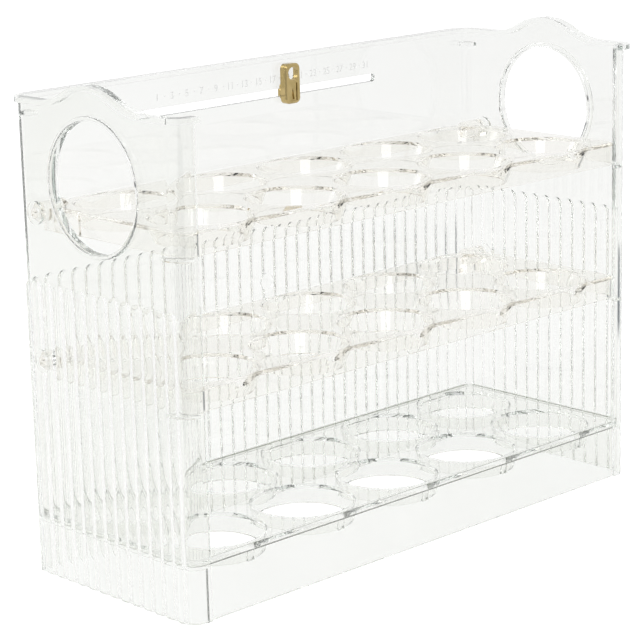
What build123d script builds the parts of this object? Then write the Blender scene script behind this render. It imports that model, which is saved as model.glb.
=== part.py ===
from build123d import *
import math
import os

os.makedirs("parts", exist_ok=True)

# Box body, millimetres. X is the width, Y the depth (front is -Y), Z is up.
BODY_W = 258.0            # outside width over the side walls
BODY_D = 96.0             # outside depth over the back wall and front strips
WALL = 2.0                # wall thickness
FRONT_R = 6.5             # outside radius of the front vertical corners
BACK_R = 3.6              # outside radius of the back vertical corners
STRIP_W = 9.0             # width of the strips beside the open front
RIM_Z = 194.0             # height of the straight part of the rim
HUMP_H = 8.0              # rise of the wave in the middle of each side
HUMP_HALF = 30.0          # half width of the wave
LIP_OUT = 3.2             # overhang of the rim lip
LIP_T = 2.0               # thickness of the rim lip
LIP_R = 11.0              # corner radius of the rim lip

# Reeds on the outside of the walls
REED_PITCH = 6.8
REED_PROUD = 0.9
REED_FLAT = 0.3           # flat land between two reeds
REED_DOME_Z = 118.4       # height where the rounded reed tops begin
SIDE_REED_START = 10.1    # front of the box to the first side reed

# Finger holes
GRIP_DROP = 30.8          # rim to the centre of the hole
GRIP_R = 25.6
COLLAR_W = 1.7
COLLAR_PROUD = 2.0
COLLAR_ROUND = 0.6

# Front apron and the seat of the bottom tray
APRON_H = 22.6
APRON_SETBACK = 0.9
APRON_T = 2.0
LEDGE_IN = 1.0
LEDGE_T = 1.4
TRAY_PLAY = 0.2           # gap round the bottom tray

# Bottom tray, with two rows of five cups
CUP_COLS = 5
BASE_RISE = 2.8           # top face above the apron
BASE_PLATE_T = 2.0
BASE_RIM_W = 1.5
BASE_R_BACK = 4.0
BASE_EDGE_F = 0.8         # apron to the front cups
BASE_EDGE_B = 1.2         # ledge to the rear cups
BASE_LAND = 4.1           # between the two rows
BASE_CUP_TAPER = 2.0
BASE_CUP_DEPTH = 7.6
BASE_CUP_WALL = 1.4
TAB_W = 3.5
TAB_T = 2.0
TAB_DROP = 7.4            # top face to the end of the tabs

# Flip trays
TIER_1 = 66.2             # bottom tray to the middle tray, top to top
TRAY_SPACING = 59.6
TRAY_GAP_SIDE = 2.5       # tray to the inner face of a side wall
TRAY_GAP_BACK = 3.0
TRAY_SETBACK = 2.7        # front of the box to the front of a tray
TRAY_R_FRONT = 4.0
TRAY_R_BACK = 20.0
TRAY_H = 9.6
TRAY_PLATE_T = 1.6
TRAY_SKIRT_T = 1.5
TRAY_EDGE_R = 1.4
CUP_END = 2.5             # tray end to the field of the first column
CUP_EDGE_F = 1.0          # tray front to the front cups
CUP_EDGE_B = 1.3
CUP_LAND = 6.0            # between the two rows
CUP_TAPER = 4.0
CUP_DEPTH = 9.0
CUP_WALL = 1.3
CUP_CHAMFER = 1.0
BACK_CUT = 2.0            # the skirt is shorter from here behind the axis
BACK_SKIRT = 7.6

# Hinges of the flip trays
AXIS_BACK = 8.6           # axis to the inner face of the back wall
AXIS_DROP = 2.2           # axis below the plate top
HUB_R = 4.0
HUB_GAP = 0.8             # hub end to the side wall
HUB_IN = 9.0              # inner end of the hub from the tray end
PIN_R = 2.2
PIN_PLAY = 0.07
BOSS_R = 4.6
BOSS_PROUD = 1.1
EAR_T = 2.5
EAR_LEN = 19.4
EAR_DROP = 0.6

# Rests and stops for the flip trays
REST_GAP = 0.3
SHELF_T = 1.2
SHELF_REACH = 10.7        # along the side wall behind the tray front
SHELF_IN = 6.0            # along the front from the inner face of the side wall
STOP_IN = 4.4
STOP_DROP = 7.5           # rim to the underside of the stop
STOP_T = 1.5

# Date slot and slider
SLOT_HALF = 67.0
SLOT_DROP = 15.55         # rim to the middle of the slot
SLOT_H = 3.5
NECK_PLAY = 0.1
NECK_W = 6.6
SLIDER_X = 14.2
SLIDER_W = 8.8
SLIDER_BELOW = 5.0        # slider below and above the middle of the slot
SLIDER_ABOVE = 12.15
SLIDER_T = 3.4
SLIDER_R = 2.4
SLIDER_BEVEL = 0.6
HOLLOW_DEEP = 1.2         # hollow in the back of the slider
HOLLOW_RIM = 1.2
FACE_GAP = 0.1            # slider faces to the back wall
EYE_R = 2.8
EYE_DROP = 4.2            # top of the slider to the middle of the eye
PANEL_W = 4.6
PANEL_DEEP = 0.4
PANEL_END = 1.2
PANEL_TOP_GAP = 1.2
ARROW_W = 1.8
ARROW_H = 5.2
ARROW_DEEP = 0.6          # below the floor of the panel
ARROW_UP = 0.6            # end of the panel to the arrow
PEG_W = 2.6               # peg behind the neck that carries the clip
PEG_H = 2.0
CLIP_T = 1.4
CLIP_W = 5.2
CLIP_H = 6.4
CLIP_R = 1.2
CLIP_PLAY = 0.05

# Small gate mark on the back wall
GATE_Z = 97.0
GATE_R = 3.65
GATE_PROUD = 1.1

HX = BODY_W / 2
HY = BODY_D / 2
EDGE_X = HX - STRIP_W
IN_X = HX - WALL
IN_Y = HY - WALL

# Smooth wall outline from the left free edge to the right one: straight runs,
# and between them four corners, each with centre, radius and first angle
BENDS = [
    (-HX + FRONT_R, -HY + FRONT_R, FRONT_R, 270),
    (-HX + BACK_R, HY - BACK_R, BACK_R, 180),
    (HX - BACK_R, HY - BACK_R, BACK_R, 90),
    (HX - FRONT_R, -HY + FRONT_R, FRONT_R, 0),
]
SIDE_RUN = BODY_D - FRONT_R - BACK_R
RUNS = [STRIP_W - FRONT_R, SIDE_RUN, BODY_W - 2 * BACK_R, SIDE_RUN, STRIP_W - FRONT_R]
ARCS = [math.pi / 2 * bend[2] for bend in BENDS]
PATH_LEN = sum(RUNS) + sum(ARCS)

# Places that follow from the sizes above
COLLAR_R = GRIP_R + COLLAR_W
GRIP_Z = RIM_Z - GRIP_DROP
STOP_Z = RIM_Z - STOP_DROP
SLOT_Z = RIM_Z - SLOT_DROP
SLIDER_LOW_Z = SLOT_Z - SLIDER_BELOW
SLIDER_HIGH_Z = SLOT_Z + SLIDER_ABOVE
EYE_Z = SLIDER_HIGH_Z - EYE_DROP

TRAY_X = IN_X - TRAY_GAP_SIDE
TRAY_FRONT_Y = -HY + TRAY_SETBACK
TRAY_BACK_Y = IN_Y - TRAY_GAP_BACK
CUP_PITCH = 2 * (TRAY_X - CUP_END) / CUP_COLS
COLUMNS = [(i - (CUP_COLS - 1) / 2) * CUP_PITCH for i in range(CUP_COLS)]
CUP_R = (TRAY_BACK_Y - TRAY_FRONT_Y - CUP_EDGE_F - CUP_EDGE_B - CUP_LAND) / 4
CUP_R_LOW = CUP_R - CUP_TAPER
ROW_F = TRAY_FRONT_Y + CUP_EDGE_F + CUP_R
ROW_B = TRAY_BACK_Y - CUP_EDGE_B - CUP_R
AXIS_Y = IN_Y - AXIS_BACK

APRON_IN_Y = -HY + APRON_SETBACK + APRON_T
LEDGE_Y = IN_Y - LEDGE_IN
BASE_TOP_Z = APRON_H + BASE_RISE
BASE_CUP_R = (LEDGE_Y - APRON_IN_Y - BASE_EDGE_F - BASE_EDGE_B - BASE_LAND) / 4
BASE_CUP_R_LOW = BASE_CUP_R - BASE_CUP_TAPER
BASE_ROW_F = APRON_IN_Y + BASE_EDGE_F + BASE_CUP_R
BASE_ROW_B = LEDGE_Y - BASE_EDGE_B - BASE_CUP_R
MIDDLE_TOP_Z = BASE_TOP_Z + TIER_1
UPPER_TOP_Z = MIDDLE_TOP_Z + TRAY_SPACING


def on_arc(cx, cy, r, deg):
    a = math.radians(deg)
    return (cx + r * math.cos(a), cy + r * math.sin(a))


def outline(off, r_front, r_back):
    """Edges of the C-shaped plan, off outside the outer face of the walls."""
    x = HX + off
    y = HY + off
    bends = [
        (-x + r_front, -y + r_front, r_front, 270),
        (-x + r_back, y - r_back, r_back, 180),
        (x - r_back, y - r_back, r_back, 90),
        (x - r_front, -y + r_front, r_front, 0),
    ]
    edges = []
    last = (-EDGE_X, -y)
    for cx, cy, r, a in bends:
        p = on_arc(cx, cy, r, a)
        q = on_arc(cx, cy, r, a - 90)
        edges.append(Line(last, p))
        edges.append(ThreePointArc(p, on_arc(cx, cy, r, a - 45), q))
        last = q
    edges.append(Line(last, (EDGE_X, -y)))
    return edges


def inner_outline(depth):
    return outline(-depth, FRONT_R - depth, BACK_R - depth)


def free_ends(out, depth):
    """Short edges that close the plan at the two free edges."""
    return [Line((s * EDGE_X, -HY - out), (s * EDGE_X, -HY + depth)) for s in (-1, 1)]


def plan_ring(out, depth):
    """Plan of the walls from out outside their outer face to depth inside it."""
    outer = outline(out, FRONT_R + out, BACK_R + out)
    return make_face(Wire(outer + inner_outline(depth) + free_ends(out, depth)))


def lip_ring():
    outer = outline(LIP_OUT, LIP_R, LIP_R)
    return make_face(Wire(outer + inner_outline(WALL) + free_ends(LIP_OUT, WALL)))


def rounded_plate(x0, x1, y0, y1, r_front, r_back):
    """Plan with one radius for the front corners and one for the back corners."""
    h = 45
    c = [
        (x0 + r_front, y0 + r_front, r_front, 180),
        (x1 - r_front, y0 + r_front, r_front, 270),
        (x1 - r_back, y1 - r_back, r_back, 0),
        (x0 + r_back, y1 - r_back, r_back, 90),
    ]
    edges = []
    first = on_arc(*c[0])
    last = None
    for cx, cy, r, a in c:
        p = on_arc(cx, cy, r, a)
        q = on_arc(cx, cy, r, a + 2 * h)
        if last:
            edges.append(Line(last, p))
        edges.append(ThreePointArc(p, on_arc(cx, cy, r, a + h), q))
        last = q
    edges.append(Line(last, first))
    return make_face(Wire(edges))


def prism(face, z0, z1):
    return extrude(Pos(0, 0, z0) * face, z1 - z0)


def block(x0, x1, y0, y1, z0, z1):
    size = (x1 - x0, y1 - y0, z1 - z0)
    return Pos((x0 + x1) / 2, (y0 + y1) / 2, (z0 + z1) / 2) * Box(*size)


def rod(x0, x1, y, z, r):
    length = abs(x1 - x0)
    return Pos((x0 + x1) / 2, y, z) * Rot(0, 90, 0) * Cylinder(r, length)


def path_point(t, off):
    """Point t along the smooth wall outline, moved outward by off."""
    start = (-EDGE_X, -HY)
    for i, run in enumerate(RUNS):
        if t <= run or i == len(BENDS):
            heading = math.radians(180 - 90 * i)
            x = start[0] + t * math.cos(heading) - off * math.sin(heading)
            y = start[1] + t * math.sin(heading) + off * math.cos(heading)
            return (x, y)
        t -= run
        cx, cy, r, a = BENDS[i]
        if t <= ARCS[i]:
            return on_arc(cx, cy, r + off, a - math.degrees(t / r))
        t -= ARCS[i]
        start = on_arc(cx, cy, r, a - 90)


def smooth_edges(t0, t1):
    """Edges of the smooth wall outline between two lengths along it."""
    cuts = [t0]
    reach = 0.0
    for run, arc in zip(RUNS, ARCS):
        for length in (run, arc):
            reach += length
            if t0 + 0.01 < reach < t1 - 0.01:
                cuts.append(reach)
    cuts.append(t1)
    edges = []
    for a, b in zip(cuts, cuts[1:]):
        p = path_point(a, 0)
        m = path_point((a + b) / 2, 0)
        q = path_point(b, 0)
        bend = abs((m[0] - p[0]) * (q[1] - p[1]) - (m[1] - p[1]) * (q[0] - p[0]))
        edges.append(Line(p, q) if bend < 1e-7 else ThreePointArc(p, m, q))
    return edges


def circle_of(p, m, q):
    ax, ay = p
    bx, by = m
    cx, cy = q
    d = 2 * (ax * (by - cy) + bx * (cy - ay) + cx * (ay - by))
    a2 = ax * ax + ay * ay
    b2 = bx * bx + by * by
    c2 = cx * cx + cy * cy
    ux = (a2 * (by - cy) + b2 * (cy - ay) + c2 * (ay - by)) / d
    uy = (a2 * (cx - bx) + b2 * (ax - cx) + c2 * (bx - ax)) / d
    return ux, uy, math.hypot(ax - ux, ay - uy)


def reed_stations():
    """Lengths along the outline where one reed ends and the next begins."""
    side_end = RUNS[0] + ARCS[0] + SIDE_RUN
    first = RUNS[0] + ARCS[0] + SIDE_REED_START - FRONT_R
    side_reeds = int((side_end - first) / REED_PITCH)
    side = [first + i * REED_PITCH for i in range(-1, side_reeds + 1)]
    back_reeds = int(RUNS[2] / REED_PITCH) - 1
    back0 = (PATH_LEN - back_reeds * REED_PITCH) / 2
    corner_reeds = round((back0 - side[-1]) / REED_PITCH)
    step = (back0 - side[-1]) / corner_reeds
    corner = [side[-1] + i * step for i in range(1, corner_reeds)]
    left = side + corner
    back = [back0 + i * REED_PITCH for i in range(back_reeds + 1)]
    return left + back + [PATH_LEN - t for t in reversed(left)]


def reeded_ring():
    """Wall plan with the reeds on its outside, and the circles of the reeds."""
    stations = reed_stations()
    half = REED_FLAT / 2
    edges = []
    circles = []
    t = 0.0
    for a, b in zip(stations, stations[1:]):
        edges += smooth_edges(t, a + half)
        p = path_point(a + half, 0)
        m = path_point((a + b) / 2, REED_PROUD)
        q = path_point(b - half, 0)
        edges.append(ThreePointArc(p, m, q))
        circles.append(circle_of(p, m, q))
        t = b - half
    edges += smooth_edges(t, PATH_LEN)
    face = make_face(Wire(edges + inner_outline(WALL) + free_ends(0, WALL)))
    return face, circles


def side_profile(drop, depth):
    """Solid under the wavy rim line, lowered by drop; arcs stay parallel."""
    rise = HUMP_H / 2
    r = ((HUMP_HALF / 2) ** 2 + rise ** 2) / (2 * rise)
    low = RIM_Z - drop
    y = HY + 2 * LIP_OUT
    lean = math.asin(HUMP_HALF / 2 / r)
    crest_c = RIM_Z + HUMP_H - r
    flat_c = RIM_Z + r

    def crest(a):
        return ((r - drop) * math.sin(a), crest_c + (r - drop) * math.cos(a))

    def dip(s, a):
        return (s * (HUMP_HALF - (r + drop) * math.sin(a)), flat_c - (r + drop) * math.cos(a))

    line = [
        Line((-y, low - depth), (-y, low)),
        Line((-y, low), (-HUMP_HALF, low)),
        ThreePointArc((-HUMP_HALF, low), dip(-1, lean / 2), crest(-lean)),
        ThreePointArc(crest(-lean), crest(0), crest(lean)),
        ThreePointArc(crest(lean), dip(1, lean / 2), (HUMP_HALF, low)),
        Line((HUMP_HALF, low), (y, low)),
        Line((y, low), (y, low - depth)),
        Line((y, low - depth), (-y, low - depth)),
    ]
    face = Plane.YZ * make_face(Wire(line))
    return extrude(face, HX + 2 * LIP_OUT, both=True)


def body_shell():
    top = RIM_Z + HUMP_H
    under_rim = side_profile(0, RIM_Z)
    under_lip = side_profile(LIP_T, RIM_Z)
    reeded, circles = reeded_ring()
    shell = prism(reeded, 0, REED_DOME_Z)
    upper = prism(plan_ring(0, WALL), REED_DOME_Z, top) & under_rim
    lip = prism(lip_ring(), RIM_Z - LIP_T - 1, top)
    lip = (lip & under_rim) - under_lip
    shell = shell + upper + lip

    # Rounded tops of the reeds
    dome_h = 1.2 * REED_PITCH / 2
    skin = prism(plan_ring(2 * REED_PROUD, WALL / 2), REED_DOME_Z, REED_DOME_Z + dome_h)
    domes = [skin & (Pos(x, y, REED_DOME_Z) * Sphere(r)) for x, y, r in circles]
    shell = shell.fuse(*domes)

    # Finger holes with their collars
    for s in (-1, 1):
        collar = rod(s * (HX - WALL / 2), s * (HX + COLLAR_PROUD), 0, GRIP_Z, COLLAR_R)
        hole = rod(s * (IN_X - 1), s * (HX + COLLAR_PROUD + 1), 0, GRIP_Z, GRIP_R)
        collar = collar - hole
        rims = collar.edges().filter_by(GeomType.CIRCLE).group_by(Axis.X)[-1 if s > 0 else 0]
        shell = (shell - hole) + fillet(rims, COLLAR_ROUND)

    # Hinge bosses and pin holes
    for z in (UPPER_TOP_Z - AXIS_DROP, MIDDLE_TOP_Z - AXIS_DROP):
        for s in (-1, 1):
            boss = rod(s * (HX - WALL / 2), s * (HX + BOSS_PROUD), AXIS_Y, z, BOSS_R)
            bore = rod(s * (IN_X - 1), s * (HX + BOSS_PROUD + 1), AXIS_Y, z, PIN_R + PIN_PLAY)
            shell = (shell + boss) - bore

    # Corner rest shelves, back-corner stops
    mid = WALL / 2
    fill = rounded_plate(-HX + mid, HX - mid, -HY + mid, HY - mid, FRONT_R - mid, BACK_R - mid)
    side_y = TRAY_FRONT_Y + SHELF_REACH
    front_x = IN_X - SHELF_IN
    for z in (UPPER_TOP_Z - TRAY_H - REST_GAP, MIDDLE_TOP_Z - TRAY_H - REST_GAP):
        slab = prism(fill, z - SHELF_T, z)
        for s in (-1, 1):
            corner = Polyline(
                (s * IN_X, side_y),
                (s * front_x, -IN_Y),
                (s * front_x, -HY),
                (s * HX, -HY),
                (s * HX, side_y),
                close=True,
            )
            shell = shell + (slab & prism(make_face(corner), z - SHELF_T - 1, z + 1))
    stop_face = AXIS_Y + AXIS_DROP + REST_GAP
    cap = prism(fill, STOP_Z, STOP_Z + STOP_T)
    for s in (-1, 1):
        x0, x1 = sorted((s * (IN_X - STOP_IN), s * HX))
        shell = shell + (cap & block(x0, x1, stop_face, HY, STOP_Z - 1, STOP_Z + STOP_T + 1))

    # Front apron and the ledge that carries the bottom tray
    y0 = -HY + APRON_SETBACK
    shell = shell + block(-EDGE_X - 0.8, EDGE_X + 0.8, y0, y0 + APRON_T, 0, APRON_H)
    ledge = plan_ring(-WALL / 2, WALL + LEDGE_IN)
    shell = shell + prism(ledge, APRON_H - LEDGE_T, APRON_H)

    # Gate mark and date slot in the back wall
    gate = Pos(0, HY - WALL / 2, GATE_Z) * Rot(-90, 0, 0) * Cylinder(
        GATE_R, WALL / 2 + GATE_PROUD, align=(Align.CENTER, Align.CENTER, Align.MIN)
    )
    shell = shell + gate
    slot = Plane.XZ * SlotOverall(2 * SLOT_HALF, SLOT_H)
    slot = Pos(0, HY, SLOT_Z) * extrude(slot, 2 * WALL, both=True)
    return shell - slot


def cup_stack(rows, z_top, depth, r_top, r_low):
    """One cone for each cup, as a list."""
    cups = []
    for x in COLUMNS:
        for y in rows:
            cone = Cone(r_low, r_top, depth, align=(Align.CENTER, Align.CENTER, Align.MAX))
            cups.append(Pos(x, y, z_top) * cone)
    return cups


def bottom_tray():
    low = BASE_TOP_Z - BASE_CUP_DEPTH
    r_front = FRONT_R - WALL - TRAY_PLAY
    side = IN_X - 2 * TRAY_PLAY
    front = -HY + APRON_SETBACK
    back = IN_Y - TRAY_PLAY
    body = prism(rounded_plate(-side, side, -back, back, r_front, BASE_R_BACK), APRON_H, BASE_TOP_Z)
    lip_x = EDGE_X - TRAY_PLAY
    body = body + block(-lip_x, lip_x, front, 0, APRON_H, BASE_TOP_Z)
    w = BASE_RIM_W
    hollow = rounded_plate(-side + w, side - w, -back + w, back - w, r_front - w, BASE_R_BACK - w)
    body = body - prism(hollow, APRON_H - 1, BASE_TOP_Z - BASE_PLATE_T)
    rows = (BASE_ROW_F, BASE_ROW_B)
    slope = (BASE_CUP_R - BASE_CUP_R_LOW) / BASE_CUP_DEPTH
    plate_low = BASE_TOP_Z - BASE_PLATE_T
    r_plate = BASE_CUP_R - slope * BASE_PLATE_T + BASE_CUP_WALL
    r_end = BASE_CUP_R_LOW + BASE_CUP_WALL
    body = body.fuse(*cup_stack(rows, plate_low + 0.4, plate_low + 0.4 - low, r_plate, r_end))
    tab_y = APRON_IN_Y + TRAY_PLAY
    tab_z = BASE_TOP_Z - TAB_DROP
    tabs = [
        block(x - TAB_W / 2, x + TAB_W / 2, tab_y, tab_y + TAB_T, tab_z, plate_low + 0.4)
        for x in COLUMNS
    ]
    body = body.fuse(*tabs)
    grow = slope * 1.0
    holes = cup_stack(rows, BASE_TOP_Z + 1, BASE_CUP_DEPTH + 2, BASE_CUP_R + grow, BASE_CUP_R_LOW - grow)
    return body.cut(*holes)


def flip_tray(top):
    low = top - TRAY_H
    axis_z = top - AXIS_DROP
    hw = TRAY_X
    t = TRAY_SKIRT_T
    plan = rounded_plate(-hw, hw, TRAY_FRONT_Y, TRAY_BACK_Y, TRAY_R_FRONT, TRAY_R_BACK)
    body = prism(plan, low, top)
    body = fillet(body.edges().group_by(Axis.Z)[-1], TRAY_EDGE_R)
    inner = rounded_plate(
        -hw + t, hw - t, TRAY_FRONT_Y + t, TRAY_BACK_Y - t, TRAY_R_FRONT - t, TRAY_R_BACK - t
    )
    body = body - prism(inner, low - 1, top - TRAY_PLATE_T)

    # Cups
    rows = (ROW_F, ROW_B)
    slope = (CUP_R - CUP_R_LOW) / CUP_DEPTH
    plate_low = top - TRAY_PLATE_T
    r_plate = CUP_R - slope * TRAY_PLATE_T + CUP_WALL
    cones = cup_stack(rows, plate_low, CUP_DEPTH - TRAY_PLATE_T, r_plate, CUP_R_LOW + CUP_WALL)
    body = body.fuse(*cones)

    # Hinge ears, hubs and pins
    hub_end = IN_X - HUB_GAP
    pin_end = HX + BOSS_PROUD
    for s in (-1, 1):
        x0, x1 = sorted((s * (hw - EAR_T), s * hw))
        ear = block(x0, x1, AXIS_Y - EAR_LEN, AXIS_Y, low, top - EAR_DROP)
        hub = rod(s * (hw - HUB_IN), s * hub_end, AXIS_Y, axis_z, HUB_R)
        pin = rod(s * (hub_end - 2), s * pin_end, AXIS_Y, axis_z, PIN_R)
        body = body + ear + hub + pin

    # The skirt is lower behind the axis so that it clears the back wall
    body = body - block(-hw, hw, AXIS_Y + BACK_CUT, TRAY_BACK_Y + 1, low - 1, top - BACK_SKIRT)
    grow = slope * 1.0
    holes = cup_stack(rows, top + 1, CUP_DEPTH + 2, CUP_R + grow, CUP_R_LOW - grow)
    bevels = cup_stack(rows, top + 0.5, CUP_CHAMFER + 0.5, CUP_R + CUP_CHAMFER / 2 + 0.5, CUP_R - CUP_CHAMFER / 2)
    return body.cut(*holes, *bevels)


def slider_plate():
    back = IN_Y - FACE_GAP
    front = back - SLIDER_T
    mid_z = (SLIDER_HIGH_Z + SLIDER_LOW_Z) / 2
    height = SLIDER_HIGH_Z - SLIDER_LOW_Z
    outline = Plane.XZ * RectangleRounded(SLIDER_W, height, SLIDER_R)
    plate = extrude(Pos(SLIDER_X, back, mid_z) * outline, SLIDER_T)
    plate = chamfer(plate.edges().group_by(Axis.Y)[0], SLIDER_BEVEL)
    rim = 2 * HOLLOW_RIM
    hollow = Plane.XZ * RectangleRounded(SLIDER_W - rim, height - rim, SLIDER_R - HOLLOW_RIM)
    hollow = extrude(Pos(SLIDER_X, back, mid_z) * hollow, HOLLOW_DEEP, both=True)
    neck_start = back - HOLLOW_DEEP - 0.5
    neck_end = HY + FACE_GAP
    neck = Plane.XZ * SlotOverall(NECK_W, SLOT_H - 2 * NECK_PLAY)
    neck = extrude(Pos(SLIDER_X, neck_end, SLOT_Z) * neck, neck_end - neck_start)
    x0, x1 = SLIDER_X - PEG_W / 2, SLIDER_X + PEG_W / 2
    peg = block(x0, x1, neck_end - 0.5, neck_end + CLIP_T, SLOT_Z - PEG_H / 2, SLOT_Z + PEG_H / 2)
    eye = Pos(SLIDER_X, front, EYE_Z) * Rot(90, 0, 0) * Cylinder(EYE_R, 4 * SLIDER_T)
    low = SLIDER_LOW_Z + PANEL_END
    high = EYE_Z - EYE_R - PANEL_TOP_GAP
    half = PANEL_W / 2
    panel = block(SLIDER_X - half, SLIDER_X + half, front - 1, front + PANEL_DEEP, low, high)
    arrow = Polyline((-ARROW_W / 2, 0), (ARROW_W / 2, 0), (0, ARROW_H), close=True)
    arrow = Plane.XZ * make_face(arrow)
    arrow = Pos(SLIDER_X, front + PANEL_DEEP + ARROW_DEEP, low + ARROW_UP) * extrude(arrow, 3)
    return (plate - hollow) + neck + peg - eye - panel - arrow


def slider_clip():
    y0 = HY + FACE_GAP
    clip = Plane.XZ * RectangleRounded(CLIP_W, CLIP_H, CLIP_R)
    clip = extrude(Pos(SLIDER_X, y0 + CLIP_T, SLOT_Z) * clip, CLIP_T)
    half_w = PEG_W / 2 + CLIP_PLAY
    half_h = PEG_H / 2 + CLIP_PLAY
    x0, x1 = SLIDER_X - half_w, SLIDER_X + half_w
    return clip - block(x0, x1, y0 - 1, y0 + 2 * CLIP_T, SLOT_Z - half_h, SLOT_Z + half_h)


export_step(body_shell(), "parts/body_shell.step")
export_step(bottom_tray(), "parts/bottom_tray.step")
export_step(flip_tray(MIDDLE_TOP_Z), "parts/middle_tray.step")
export_step(flip_tray(UPPER_TOP_Z), "parts/upper_tray.step")
export_step(slider_plate(), "parts/slider_plate.step")
export_step(slider_clip(), "parts/slider_clip.step")
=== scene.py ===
import bpy
import bmesh
import math
from mathutils import Matrix, Vector


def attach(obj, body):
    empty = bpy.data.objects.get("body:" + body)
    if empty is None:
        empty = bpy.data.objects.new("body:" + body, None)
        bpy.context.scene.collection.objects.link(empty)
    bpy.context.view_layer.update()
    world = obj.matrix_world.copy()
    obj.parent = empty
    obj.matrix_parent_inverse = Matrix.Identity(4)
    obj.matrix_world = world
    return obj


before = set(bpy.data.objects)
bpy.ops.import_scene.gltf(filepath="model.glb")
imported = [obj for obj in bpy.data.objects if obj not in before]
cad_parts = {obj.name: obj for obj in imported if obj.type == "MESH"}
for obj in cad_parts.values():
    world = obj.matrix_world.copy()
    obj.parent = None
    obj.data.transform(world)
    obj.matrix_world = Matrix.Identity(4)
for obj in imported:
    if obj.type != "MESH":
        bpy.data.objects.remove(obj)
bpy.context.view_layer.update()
MM = 0.001
scene = bpy.context.scene

# -------------------------------------------------------------- node helpers


def tree(name):
    m = bpy.data.materials.new(name)
    m.use_nodes = True
    nt = m.node_tree
    nt.nodes.clear()
    return m, nt


def node(nt, kind):
    return nt.nodes.new(kind)


def link(nt, a, b):
    nt.links.new(a, b)


def math_node(nt, kind, *terms):
    """One sum on numbers or sockets."""
    m = node(nt, "ShaderNodeMath")
    m.operation = kind
    for i, v in enumerate(terms):
        if isinstance(v, (int, float)):
            m.inputs[i].default_value = v
        else:
            link(nt, v, m.inputs[i])
    return m.outputs[0]


def smooth_step(nt, value, lo, hi):
    """Zero at lo, one at hi; lo may be the larger of the two."""
    r = node(nt, "ShaderNodeMapRange")
    r.interpolation_type = "SMOOTHSTEP"
    r.inputs["From Min"].default_value = lo
    r.inputs["From Max"].default_value = hi
    link(nt, value, r.inputs["Value"])
    return r.outputs["Result"]


def remap(nt, fac, lo, hi):
    r = node(nt, "ShaderNodeMapRange")
    r.inputs["To Min"].default_value = lo
    r.inputs["To Max"].default_value = hi
    link(nt, fac, r.inputs["Value"])
    return r.outputs["Result"]


def noise(nt, scale, detail, stretch=(1, 1, 1)):
    """Noise on object coordinates, so that it stays with the piece."""
    tc = node(nt, "ShaderNodeTexCoord")
    mp = node(nt, "ShaderNodeMapping")
    mp.inputs["Scale"].default_value = stretch
    nz = node(nt, "ShaderNodeTexNoise")
    nz.inputs["Scale"].default_value = scale
    nz.inputs["Detail"].default_value = detail
    link(nt, tc.outputs["Object"], mp.inputs["Vector"])
    link(nt, mp.outputs["Vector"], nz.inputs["Vector"])
    return nz.outputs["Fac"]


def ramp(nt, fac, stops):
    r = node(nt, "ShaderNodeValToRGB")
    for e, (pos, col) in zip(r.color_ramp.elements, stops):
        e.position = pos
        e.color = (*col, 1)
    link(nt, fac, r.inputs["Fac"])
    return r.outputs["Color"]


def relief(nt, height, distance):
    """Faint bump from a noise, with its depth in metres."""
    bump = node(nt, "ShaderNodeBump")
    bump.inputs["Strength"].default_value = BUMP_STRENGTH
    bump.inputs["Distance"].default_value = distance
    link(nt, height, bump.inputs["Height"])
    return bump.outputs["Normal"]


def mix_shader(nt, fac, first, second):
    mix = node(nt, "ShaderNodeMixShader")
    link(nt, fac, mix.inputs["Fac"])
    link(nt, first, mix.inputs[1])
    link(nt, second, mix.inputs[2])
    return mix.outputs["Shader"]


# ---------------------------------------------------------------- materials
BUMP_STRENGTH = 0.25
PLASTIC_IOR = 1.51
# noise scales, in cycles per metre
CLOUD, FINE, FLOW = 22.0, 90.0, 60.0
PLASTIC_ROUGH = (0.0, 0.006)
PLASTIC_RELIEF = 0.00003
GOLD_CLOUD, GOLD_BRUSH = 160.0, 900.0
GOLD_ROUGH = (0.12, 0.26)
GOLD_RELIEF = 0.00002
INK_CLOUD = 700.0
INK_ROUGH = 0.5


def clear_plastic(name, pale, shade, absorb, density, through, clarity):
    """Clear moulded plastic: faint flow marks, absorption in the depth, light shadow."""
    m, nt = tree(name)
    out = node(nt, "ShaderNodeOutputMaterial")
    p = node(nt, "ShaderNodeBsdfPrincipled")
    p.inputs["IOR"].default_value = PLASTIC_IOR
    p.inputs["Transmission Weight"].default_value = clarity
    cloud = noise(nt, CLOUD, 3.0)
    link(nt, ramp(nt, cloud, [(0.35, pale), (0.75, shade)]), p.inputs["Base Color"])
    link(nt, remap(nt, noise(nt, FINE, 4.0), *PLASTIC_ROUGH), p.inputs["Roughness"])
    flow = noise(nt, FLOW, 2.0, (0.25, 1.0, 1.0))
    link(nt, relief(nt, flow, PLASTIC_RELIEF), p.inputs["Normal"])
    clear = node(nt, "ShaderNodeBsdfTransparent")
    clear.inputs["Color"].default_value = (*through, 1)
    lp = node(nt, "ShaderNodeLightPath")
    soft = math_node(nt, "MAXIMUM", lp.outputs["Is Shadow Ray"], lp.outputs["Is Diffuse Ray"])
    mix = mix_shader(nt, soft, p.outputs["BSDF"], clear.outputs["BSDF"])
    link(nt, mix, out.inputs["Surface"])
    vol = node(nt, "ShaderNodeVolumeAbsorption")
    vol.inputs["Color"].default_value = (*absorb, 1)
    vol.inputs["Density"].default_value = density
    link(nt, vol.outputs["Volume"], out.inputs["Volume"])
    return m


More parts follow.
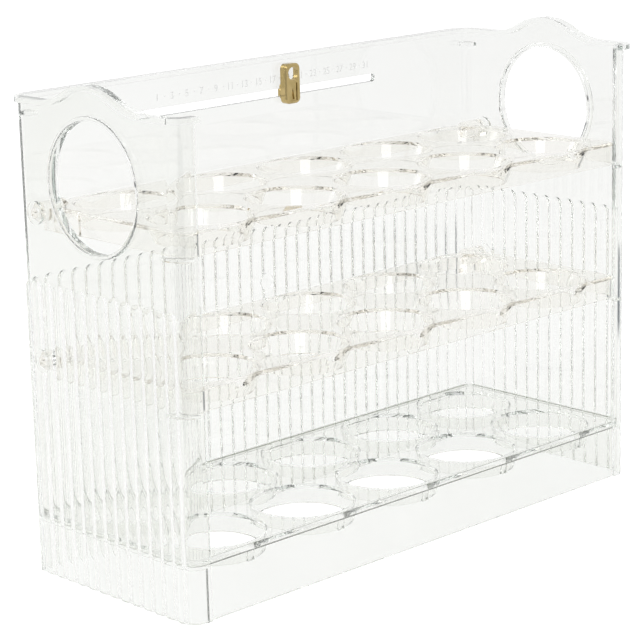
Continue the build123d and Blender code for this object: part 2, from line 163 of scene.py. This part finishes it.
def gold_metal():
    """Brushed gold of the date slider."""
    m, nt = tree("gold")
    out = node(nt, "ShaderNodeOutputMaterial")
    p = node(nt, "ShaderNodeBsdfPrincipled")
    p.inputs["Metallic"].default_value = 1.0
    stops = [(0.3, (0.42, 0.32, 0.135)), (0.75, (0.58, 0.45, 0.215))]
    link(nt, ramp(nt, noise(nt, GOLD_CLOUD, 3.0), stops), p.inputs["Base Color"])
    brush = noise(nt, GOLD_BRUSH, 2.0, (1.0, 1.0, 0.08))
    link(nt, remap(nt, brush, *GOLD_ROUGH), p.inputs["Roughness"])
    link(nt, relief(nt, brush, GOLD_RELIEF), p.inputs["Normal"])
    link(nt, p.outputs["BSDF"], out.inputs["Surface"])
    return m


def print_ink():
    """Pale grey print of the number scale."""
    m, nt = tree("scale_ink")
    out = node(nt, "ShaderNodeOutputMaterial")
    p = node(nt, "ShaderNodeBsdfPrincipled")
    p.inputs["Roughness"].default_value = INK_ROUGH
    stops = [(0.3, (0.85, 0.86, 0.85)), (0.7, (0.90, 0.91, 0.90))]
    link(nt, ramp(nt, noise(nt, INK_CLOUD, 3.0), stops), p.inputs["Base Color"])
    link(nt, p.outputs["BSDF"], out.inputs["Surface"])
    return m


BODY = clear_plastic(
    "clear_body_plastic",
    pale=(0.957, 0.961, 0.946),
    shade=(0.940, 0.945, 0.925),
    absorb=(0.72, 0.86, 0.80),
    density=3.0,
    through=(0.98, 0.983, 0.982),
    clarity=0.985,
)
TRAY = clear_plastic(
    "clear_tray_plastic",
    pale=(0.974, 0.969, 0.953),
    shade=(0.962, 0.956, 0.938),
    absorb=(0.93, 0.84, 0.64),
    density=5.0,
    through=(0.986, 0.981, 0.970),
    clarity=1.0,
)
GOLD = gold_metal()
INK = print_ink()

for name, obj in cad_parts.items():
    if name in ("body_shell", "bottom_tray"):
        look = BODY
    elif name in ("middle_tray", "upper_tray"):
        look = TRAY
    else:
        look = GOLD
    obj.data.materials.clear()
    obj.data.materials.append(look)

# ------------------------------------------------- number scale, sizes in mm
FIRST_X = -58.7          # place of the 1, then one step for each day
DAY_STEP = 4.0
DAYS = 31
SCALE_Z = 183.2          # foot of the numbers
DOT_Z = 184.5            # foot of the dots that stand for even days
FACE_Y = 46.0            # inner face of the back wall
FONT_SIZE = 4.2
PRINT_T = 0.02
numbers = []
for day in range(1, DAYS + 1):
    odd = day % 2 == 1
    cu = bpy.data.curves.new("number", "FONT")
    cu.body = str(day) if odd else "."
    cu.size = FONT_SIZE * MM
    cu.align_x = "CENTER"
    cu.extrude = PRINT_T * MM
    ob = bpy.data.objects.new(f"number_{day}", cu)
    scene.collection.objects.link(ob)
    x = FIRST_X + (day - 1) * DAY_STEP
    z = SCALE_Z if odd else DOT_Z
    place = Matrix.Translation((x * MM, (FACE_Y - PRINT_T) * MM, z * MM))
    ob.matrix_world = place @ Matrix.Rotation(math.pi / 2, 4, "X")
    numbers.append(ob)
bpy.context.view_layer.update()
dg = bpy.context.evaluated_depsgraph_get()
bm = bmesh.new()
for ob in numbers:
    me = bpy.data.meshes.new_from_object(ob.evaluated_get(dg))
    me.transform(ob.matrix_world)
    bm.from_mesh(me)
    bpy.data.meshes.remove(me)
for ob in numbers:
    bpy.data.objects.remove(ob)
mesh = bpy.data.meshes.new("date_numbers")
bm.to_mesh(mesh)
bm.free()
date_numbers = bpy.data.objects.new("date_numbers", mesh)
scene.collection.objects.link(date_numbers)
mesh.materials.append(INK)
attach(date_numbers, "box")

# ------------------------------------------------------------ studio, in metres
WHITE = (1, 1, 1, 1)
FLOOR_SIZE = 12
FLOOR_DROP = 0.0002      # keeps the floor clear of the box's lower edge
FLOOR_GREY = (0.8, 0.8, 0.8, 1)
GLOW_SEEN = 0.42         # floor seen straight
GLOW_THROUGH = 0.19      # floor seen through or in the plastic
ROOM_STRENGTH = 0.95
# Painted dark reflections: dark patches on the floor beside the box, seen only in and through its
# pieces, never by the camera straight: x and y limits
PAINTED_REFLECTION_SOFT = 0.06
PAINTED_REFLECTION_TONE = (0.17, 0.19, 0.21, 1)
PAINTED_REFLECTION_PATCHES = [(-0.90, -0.36, -1.10, 0.10), (0.38, 0.60, -0.20, 0.04)]
# Dark parts of the pale room: bearing, half width, lowest and highest angle, tone
CARD_SOFT = 4.0
CARDS = [
    (-134, 60, 3, 24, (0.66, 0.66, 0.67)),
    (-62, 26, 2, 9, (0.10, 0.10, 0.11)),
    (-172, 10, -4, 6, (0.16, 0.18, 0.22)),
]


def band(nt, value, low, high, soft):
    """One between two limits, zero outside, with soft edges."""
    half = soft / 2
    rise = smooth_step(nt, value, low - half, low + half)
    fall = smooth_step(nt, value, high + half, high - half)
    return math_node(nt, "MULTIPLY", rise, fall)


def add_floor():
    half = FLOOR_SIZE / 2
    me = bpy.data.meshes.new("floor")
    corners = [(-half, -half, 0), (half, -half, 0), (half, half, 0), (-half, half, 0)]
    me.from_pydata(corners, [], [(0, 1, 2, 3)])
    ob = bpy.data.objects.new("floor", me)
    scene.collection.objects.link(ob)
    ob.matrix_world = Matrix.Translation((0, 0, -FLOOR_DROP))
    return ob


floor = add_floor()
paint, nt = tree("floor_paint")
out = node(nt, "ShaderNodeOutputMaterial")
dif = node(nt, "ShaderNodeBsdfDiffuse")
dif.inputs["Color"].default_value = FLOOR_GREY
glow = node(nt, "ShaderNodeEmission")
glow.inputs["Color"].default_value = WHITE
lp = node(nt, "ShaderNodeLightPath")
other = math_node(nt, "MAXIMUM", lp.outputs["Is Glossy Ray"], lp.outputs["Is Transmission Ray"])
through = math_node(nt, "MULTIPLY", other, GLOW_THROUGH)
gain = math_node(nt, "MULTIPLY_ADD", lp.outputs["Is Camera Ray"], GLOW_SEEN, through)
link(nt, gain, glow.inputs["Strength"])
lit = node(nt, "ShaderNodeAddShader")
link(nt, dif.outputs[0], lit.inputs[0])
link(nt, glow.outputs[0], lit.inputs[1])
where = node(nt, "ShaderNodeTexCoord")
spot = node(nt, "ShaderNodeSeparateXYZ")
link(nt, where.outputs["Object"], spot.inputs[0])
# mask of the painted dark reflections: dark floor patches that stand in for dark surroundings
painted_reflection_mask = 0.0
for left, right, near, far in PAINTED_REFLECTION_PATCHES:
    across = band(nt, spot.outputs["X"], left, right, PAINTED_REFLECTION_SOFT)
    along = band(nt, spot.outputs["Y"], near, far, PAINTED_REFLECTION_SOFT)
    painted_reflection_mask = math_node(nt, "ADD", math_node(nt, "MULTIPLY", across, along), painted_reflection_mask)
# painted reflection: a dark glow that the plastic and gold mirror and show through them
painted_dark_reflection = node(nt, "ShaderNodeEmission")
painted_dark_reflection.inputs["Color"].default_value = PAINTED_REFLECTION_TONE
# the painted dark reflection shows only to glossy and transmission rays
shade = math_node(nt, "MULTIPLY", painted_reflection_mask, other)
link(nt, mix_shader(nt, shade, lit.outputs[0], painted_dark_reflection.outputs[0]), out.inputs["Surface"])
floor.data.materials.append(paint)

world = bpy.data.worlds.new("studio")
scene.world = world
world.use_nodes = True
nt = world.node_tree
nt.nodes.clear()
out = node(nt, "ShaderNodeOutputWorld")
room = node(nt, "ShaderNodeBackground")
back = node(nt, "ShaderNodeBackground")
back.inputs["Color"].default_value = WHITE
back.inputs["Strength"].default_value = 1.0
tc = node(nt, "ShaderNodeTexCoord")
sep = node(nt, "ShaderNodeSeparateXYZ")
link(nt, tc.outputs["Generated"], sep.inputs[0])
bearing = math_node(nt, "ARCTAN2", sep.outputs["Y"], sep.outputs["X"])


def cos_deg(angle):
    return math.cos(math.radians(angle))


def sin_deg(angle):
    return math.sin(math.radians(angle))


def add_card(nt, tone, mid, half, low, high, level):
    """Room tone with a darker part round one bearing, between two heights, in degrees."""
    edge = CARD_SOFT / 2
    turn = math_node(nt, "COSINE", math_node(nt, "SUBTRACT", bearing, math.radians(mid)))
    across = smooth_step(nt, turn, cos_deg(half + edge), cos_deg(half - edge))
    over = smooth_step(nt, sep.outputs["Z"], sin_deg(low - edge), sin_deg(low + edge))
    under = smooth_step(nt, sep.outputs["Z"], sin_deg(high + edge), sin_deg(high - edge))
    mask = math_node(nt, "MULTIPLY", across, math_node(nt, "MULTIPLY", over, under))
    mix = node(nt, "ShaderNodeMix")
    mix.data_type = "RGBA"
    factor, first, second = mix.inputs[0], mix.inputs[6], mix.inputs[7]
    link(nt, mask, factor)
    if tone is None:
        first.default_value = WHITE
    else:
        link(nt, tone, first)
    second.default_value = (*level, 1)
    return mix.outputs[2]


tone = None
for values in CARDS:
    tone = add_card(nt, tone, *values)
link(nt, tone, room.inputs["Color"])
room.inputs["Strength"].default_value = ROOM_STRENGTH
lp = node(nt, "ShaderNodeLightPath")
seen = mix_shader(nt, lp.outputs["Is Camera Ray"], room.outputs[0], back.outputs[0])
link(nt, seen, out.inputs["Surface"])

SOFTBOX_WATTS = 3.0
SOFTBOX_AIM = (0, 0, 0.1)


def softbox(name, at, size):
    d = bpy.data.lights.new(name, "AREA")
    d.shape = "RECTANGLE"
    d.size, d.size_y = size
    d.energy = SOFTBOX_WATTS
    o = bpy.data.objects.new(name, d)
    scene.collection.objects.link(o)
    o.location = at
    o.rotation_mode = "QUATERNION"
    o.rotation_quaternion = (Vector(SOFTBOX_AIM) - Vector(at)).to_track_quat("-Z", "Y")


softbox("key", (-0.9, -0.9, 1.3), (0.7, 0.7))
softbox("rim", (-0.6, 1.3, 1.1), (0.6, 0.9))

# -------------------------------------------- camera, fitted to the photo, in mm
PITCH, ROLL, TURN = 0.2443, -0.0250, 0.7618
SHIFT = Vector((9.2771, 983.3703, 12.2266))
AIM = Vector((0, 0.9, 100))
SENSOR, LENS = 36, 131.96
rot = Matrix.Rotation(ROLL, 3, "Y") @ Matrix.Rotation(PITCH, 3, "X") @ Matrix.Rotation(TURN, 3, "Z")
stand = rot.transposed() @ -SHIFT + AIM
cam = bpy.data.cameras.new("camera")
cam.sensor_width = SENSOR
cam.lens = LENS
cam.clip_start, cam.clip_end = 0.05, 50
eye = bpy.data.objects.new("camera", cam)
scene.collection.objects.link(eye)
m = Matrix.Identity(4)
for r in range(3):
    m[r][0] = rot[0][r]
    m[r][1] = rot[2][r]
    m[r][2] = -rot[1][r]
    m[r][3] = stand[r] * MM
eye.matrix_world = m
scene.camera = eye

scene.view_settings.view_transform = "Standard"
scene.cycles.max_bounces = 96
scene.cycles.transmission_bounces = 96
scene.cycles.glossy_bounces = 32
scene.cycles.diffuse_bounces = 4
scene.cycles.transparent_max_bounces = 48
scene.cycles.volume_bounces = 2
scene.cycles.sample_clamp_indirect = 4.0
scene.cycles.use_denoising = True
